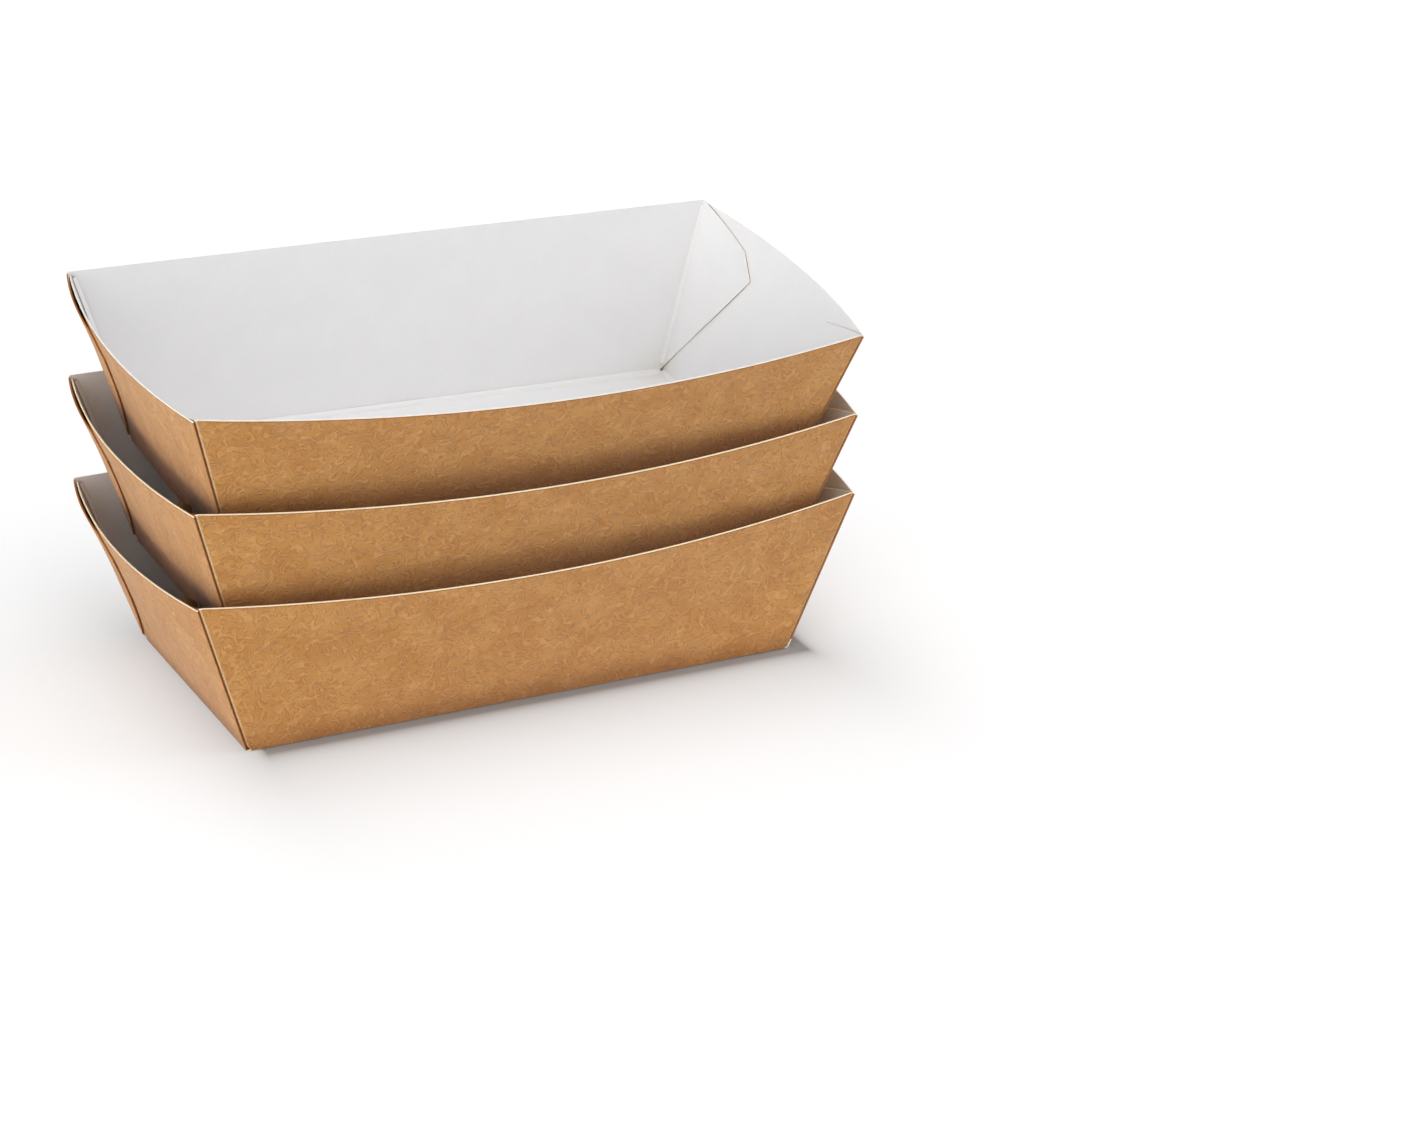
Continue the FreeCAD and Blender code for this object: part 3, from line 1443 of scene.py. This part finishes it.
        seen = {edge for face in faces for edge in zip(face, face[1:] + face[:1])}
        open_edges = sorted(edge for edge in seen if edge[::-1] not in seen)
        outward = {}
        for first, second in open_edges:
            way = unit(np.cross(outer[second] - outer[first], normals[first]))
            for point in (first, second):
                outward[point] = outward.get(point, 0) + way
        follows = dict(open_edges)
        run = {}
        for begin in sorted(follows):
            point, length = begin, 0.0
            while point in follows and point not in run:
                run[point] = length
                length += float(np.linalg.norm(outer[follows[point]] - outer[point]))
                point = follows[point]

        shares = (0.0, self.ply_share, self.core_share, 1.0)
        rings, added = {}, []
        for point in sorted(outward):
            way = unit(outward[point])
            first = 2 * count + len(added)
            for share in shares[1:3]:
                middle = outer[point] * (1 - share) + inner[point] * share
                added.append(middle + way * self.edge_round * MM)
            rings[point] = [point, first, first + 1, point + count]
        all_faces = faces + [tuple(point + count for point in face[::-1]) for face in faces]
        all_uv = face_uv + [corners[::-1] for corners in face_uv]
        skins = [self.outer_skin(min(rise[point] for point in face)) for face in faces]
        skins += [Skin.INSIDE] * len(faces)
        for first, second in open_edges:
            way = outer[second] - outer[first]
            lengths = run[first], run[first] + np.linalg.norm(way)
            start, stop = (length / MM / BLANK_UNIT for length in lengths)
            kinds = {round(cut[first]), round(cut[second])}
            low, high = rings[first], rings[second]
            for strip, skin in enumerate(self.edge_skins(kinds, outer[first], way)):
                ends = strip, strip + 1
                near, far = (shares[k] * self.blank.board / BLANK_UNIT for k in ends)
                all_faces.append((high[strip], low[strip], low[strip + 1], high[strip + 1]))
                all_uv.append([(stop, near), (start, near), (start, far), (stop, far)])
                skins.append(skin)
        mesh = bpy.data.meshes.new(self.node + "_board")
        points = np.concatenate([outer, inner, np.array(added)])
        mesh.from_pydata([tuple(point) for point in points], [], all_faces)
        layer = mesh.uv_layers.new(name="blank")
        layer.data.foreach_set("uv", np.array([c for corners in all_uv for c in corners]).ravel())
        # The fold mask: folds rubbed pale and painted with a highlight.
        wear_and_highlight = mesh.attributes.new("fold", "FLOAT", "POINT")
        wear_and_highlight.data.foreach_set("value", np.concatenate([fold, fold, np.zeros(len(added))]))
        mesh.polygons.foreach_set("material_index", [int(skin) for skin in skins])
        mesh.polygons.foreach_set("use_smooth", [True] * len(skins))
        for material in materials:
            mesh.materials.append(material)
        mesh.set_sharp_from_angle(angle=math.radians(self.sharp_angle))
        piece.data = mesh
        bpy.data.meshes.remove(sheet)

    def base_crease(self, outwards: Vector) -> tuple[Vector, Vector, Vector, float]:
        """The bead along a base fold, inside the tray.

        Args:
            outwards: The way that the fold's wall faces.

        Returns:
            Its two ends, the way that it faces and its width as a share.
        """
        sizes = self.blank
        half_length, half_width = self.deck_half()
        half, reach = (half_length, half_width) if outwards.x else (half_width, half_length)
        upwards = sizes.wall_up(outwards, sizes.end_lean if outwards.x else sizes.side_lean)
        inwards = (upwards - outwards).normalized()
        half_angle = (-outwards).angle(upwards) / 2
        corner = outwards * (half + sizes.setback(-outwards, upwards))
        depth = sizes.board / math.sin(half_angle) + BEAD_HALF / math.tan(half_angle)
        middle = corner + inwards * depth
        sideways = Vector((-outwards.y, outwards.x, 0)) * (reach - self.crease_end)
        return middle - sideways, middle + sideways, inwards, 1.0

    def corner_crease(self, corner: Corner) -> tuple[Vector, Vector, Vector, float]:
        """The bead up an inner corner, which is wide where the flap is lapped outside.

        Args:
            corner: The corner.

        Returns:
            Its two ends, the way that it faces and its width as a share.
        """
        sizes = self.blank
        width = self.lapped_crease if corner.lapped else self.corner_crease_width
        inset = sizes.end_level
        if not corner.lapped:
            inset = sizes.fold_inset(corner) + sizes.side_level
        inwards = sum(corner.ways, Vector()).normalized()
        head = sizes.end_rim_height - self.crease_head
        ends = []
        for height, settle in ((self.crease_foot, 0.0), (head, self.crease_settle)):
            x, y = sizes.end_place(height) - inset, sizes.side_place(height) - sizes.side_level
            place = Vector((corner.end * x, corner.side * y, height))
            ends.append(place + inwards * ((BEAD_HALF - settle) * width))
        return ends[0], ends[1], inwards, width

    def creases(self, tree: Tree) -> bpy.types.Object:
        """Raise a bead along each inner base fold and up each inner corner.

        Args:
            tree: The crease tree.

        Returns:
            The beads' object.
        """
        walls = [Vector((0, side, 0)) for side in Side] + [Vector((end, 0, 0)) for end in End]
        lines = [self.base_crease(outwards) for outwards in walls]
        lines += [self.corner_crease(corner) for corner in CORNERS]
        paths = bpy.data.meshes.new(self.node + "_creases")
        ends = [tuple(point * MM) for line in lines for point in line[:2]]
        paths.from_pydata(ends, [(2 * k, 2 * k + 1) for k in range(len(lines))], [])
        ways = paths.attributes.new("bead_way", "FLOAT_VECTOR", "POINT")
        ways.data.foreach_set("vector", [v for line in lines for v in tuple(line[2]) * 2])
        widths = paths.attributes.new("bead_width", "FLOAT", "POINT")
        widths.data.foreach_set("value", [line[3] for line in lines for _ in (0, 1)])
        piece = add_object(self.node + "_creases", paths)
        apply_tree(piece, tree, {"Seed": float(self.count)})
        beads = bmesh.new()
        beads.from_mesh(piece.data)
        for face in beads.faces:
            where = face.calc_center_median()

            def distance(line: tuple[Vector, Vector, Vector, float]) -> float:
                """How far the face lies from a bead's line."""
                start, stop = line[:2]
                return ((start + stop) / 2 * MM - where).cross((stop - start).normalized()).length

            if face.normal.dot(min(lines, key=distance)[2]) < 0:
                face.normal_flip()
        beads.to_mesh(piece.data)
        beads.free()
        return piece

    def build(self, bulge: Tree, crease: Tree, materials: list[Material]) -> None:
        """Make the tray's pieces and put them in the place of its solid.

        Args:
            bulge: The tree that makes the walls bulge.
            crease: The tree that raises the crease beads.
            materials: One material for each Skin.
        """
        board = self.sheet()
        apply_tree(board, bulge, {"Ripple Seed": self.seed_step * self.count})
        self.thicken(board, materials)
        creases = self.creases(crease)
        for piece in (board, creases):
            piece.data.transform(self.nesting.place(self.count))
            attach(piece, "root")
            LOG.info("%s: %d faces", piece.name, len(piece.data.polygons))
        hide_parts(self.node)


@dataclass
class Stack:
    """The trays, from the bottom up."""

    blank: TrayBlank = field(default_factory=TrayBlank)
    trays: tuple[tuple[str, Flaps], ...] = (
        ("bottom_tray", Flaps.CURLED),
        ("middle_tray", Flaps.CURLED),
        ("top_tray", Flaps.FLAT),
    )

    def build(self) -> None:
        """Build each tray and log it."""
        texture = BoardTexture().group()
        materials = [finish.material(texture) for finish in (KRAFT, LINER)]
        materials += [cut.material() for cut in (RIM_CUT, RIM_PLY, PAINTED_SHADE_CUT, FLAP_CUT)]
        bulge = BulgeRule(self.blank).tree(materials[Skin.OUTSIDE])
        crease = CreaseRule().tree(materials[Skin.INSIDE])
        for count, (node, flaps) in enumerate(self.trays):
            FoldedTray(node, count, flaps, self.blank).build(bulge, crease, materials)


# The studio


@dataclass(frozen=True)
class Lamp:
    """A broad, distant lamp."""

    name: str
    strength: float
    toward: tuple[float, float, float]
    spread: float = 50.0

    def light(self) -> None:
        """Hang the lamp in the scene."""
        data = bpy.data.lights.new(self.name, "SUN")
        data.energy = self.strength
        data.angle = math.radians(self.spread)
        lamp = add_object(self.name, data)
        lamp.rotation_euler = Vector(self.toward).to_track_quat("Z", "Y").to_euler()


@dataclass(frozen=True)
class Studio:
    """A white floor, soft lamps and the camera.

    The floor's sizes are in metres. shades holds the depth and the reach of each
    shade round the stack's base. The camera's sizes are in millimetres, degrees
    and pixels.
    """

    floor_half: float = 12.0
    floor_grey: Colour = srgb(212, 212, 212)
    floor_seen: Colour = srgb(163, 163, 164)
    floor_glow: float = 0.72
    floor_roughness: float = 0.9
    floor_gloss: float = 0.1
    shade_centre: tuple[float, float, float] = (0.005, 0.0, 0.0)
    shade_half: tuple[float, float, float] = (0.0775, 0.03925, 0.0)
    shade_narrow: tuple[float, float, float] = (2.3, 1.0, 1.0)
    shades: tuple[tuple[float, float], ...] = ((0.5, 0.003), (0.5, 0.045))
    lamps: tuple[Lamp, ...] = (
        Lamp("left_key", 1.78, (-1.0, 0.1, 0.14), 36.0),
        Lamp("front_key", 1.5, (-0.7, -0.8, 0.25)),
        Lamp("front_fill", 0.75, (0.0, -0.8, 0.8)),
        Lamp("top_fill", 0.9, (0.0, 0.0, 1.0)),
        Lamp("right_fill", 1.35, (1.0, -0.3, 0.7)),
    )
    elevation: float = 22.925
    azimuth: float = -25.144
    target: tuple[float, float, float] = (70.325, 2.952, 11.976)
    distance: float = 1294.6
    focal_pixels: float = 4702.4
    image_width: float = 1402.0
    sensor_width: float = 36.0
    far_end: float = 100.0

    def shade(self, graph: Graph) -> Socket:
        """How much of its glow the floor keeps, which is less round the stack's base.

        Args:
            graph: The floor's graph.

        Returns:
            The share.
        """
        where = graph.node("ShaderNodeTexCoord").outputs["Object"]
        apart = graph.vector_math("SUBTRACT", where, self.shade_centre)
        apart = graph.vector_math("ABSOLUTE", apart)
        apart = graph.vector_math("SUBTRACT", apart, self.shade_half)
        apart = graph.vector_math("MAXIMUM", apart, (0.0, 0.0, 0.0))
        apart = graph.vector_math("MULTIPLY", apart, self.shade_narrow)
        length = graph.node("ShaderNodeVectorMath", {"operation": "LENGTH"}, Vector=apart)
        glow = 1.0
        for depth, reach in self.shades:
            fade = graph.math("DIVIDE", length.outputs["Value"], -reach)
            fade = graph.math("EXPONENT", fade)
            glow = graph.math("SUBTRACT", glow, graph.math("MULTIPLY", fade, depth))
        return glow

    def floor_material(self) -> Material:
        """A floor that looks white, darkens round the stack and keeps its shadow.

        Returns:
            The material.
        """
        material, graph, shader = begin_material("floor", self.floor_grey)
        path = graph.node("ShaderNodeLightPath").outputs
        seen = graph.math("MAXIMUM", path["Is Camera Ray"], path["Is Glossy Ray"])
        seen = graph.math("MAXIMUM", seen, path["Is Transmission Ray"])
        colour = graph.mix(seen, self.floor_grey, self.floor_seen)
        graph.feed(shader.inputs["Base Color"], colour)
        shader.inputs["Emission Color"].default_value = WHITE
        lit = graph.math("MULTIPLY", self.shade(graph), self.floor_glow)
        graph.feed(shader.inputs["Emission Strength"], graph.math("MULTIPLY", seen, lit))
        shader.inputs["Roughness"].default_value = self.floor_roughness
        shader.inputs["Specular IOR Level"].default_value = self.floor_gloss
        return material

    def floor(self) -> None:
        """Lay a floor that reaches past the view on all sides."""
        mesh = bpy.data.meshes.new("floor")
        half = self.floor_half
        corners = [(-half, -half, 0), (half, -half, 0), (half, half, 0), (-half, half, 0)]
        mesh.from_pydata(corners, [], [(0, 1, 2, 3)])
        mesh.materials.append(self.floor_material())
        floor = add_object("floor", mesh)

    def light(self) -> None:
        """Hang the lamps under a black sky."""
        world = bpy.data.worlds.new("studio")
        bpy.context.scene.world = world
        world.use_nodes = True
        world.node_tree.nodes["Background"].inputs["Strength"].default_value = 0.0
        for lamp in self.lamps:
            lamp.light()

    def camera(self) -> None:
        """Set the camera at the photograph's angle."""
        turn, rise = math.radians(self.azimuth), math.radians(self.elevation)
        level = math.cos(rise)
        back = Vector((math.sin(turn) * level, -math.cos(turn) * level, math.sin(rise)))
        right = UP.cross(back).normalized()
        axes = Matrix((right, back.cross(right), back)).transposed().to_4x4()
        data = bpy.data.cameras.new("camera")
        data.sensor_width = self.sensor_width
        data.lens = self.focal_pixels / self.image_width * self.sensor_width
        data.clip_end = self.far_end
        camera = add_object("camera", data)
        place = (Vector(self.target) + back * self.distance) * MM
        camera.matrix_world = Matrix.Translation(place) @ axes
        bpy.context.scene.camera = camera

    def build(self) -> None:
        """Set up floor, light, camera and colour."""
        self.floor()
        self.light()
        self.camera()
        bpy.context.scene.view_settings.view_transform = "Standard"
        LOG.info("studio ready")


def main() -> None:
    """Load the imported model, dress it and set the scene."""
    logging.basicConfig(level=logging.INFO, format="%(name)s %(message)s")
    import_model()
    Stack().build()
    Studio().build()


if __name__ == "__main__":
    main()
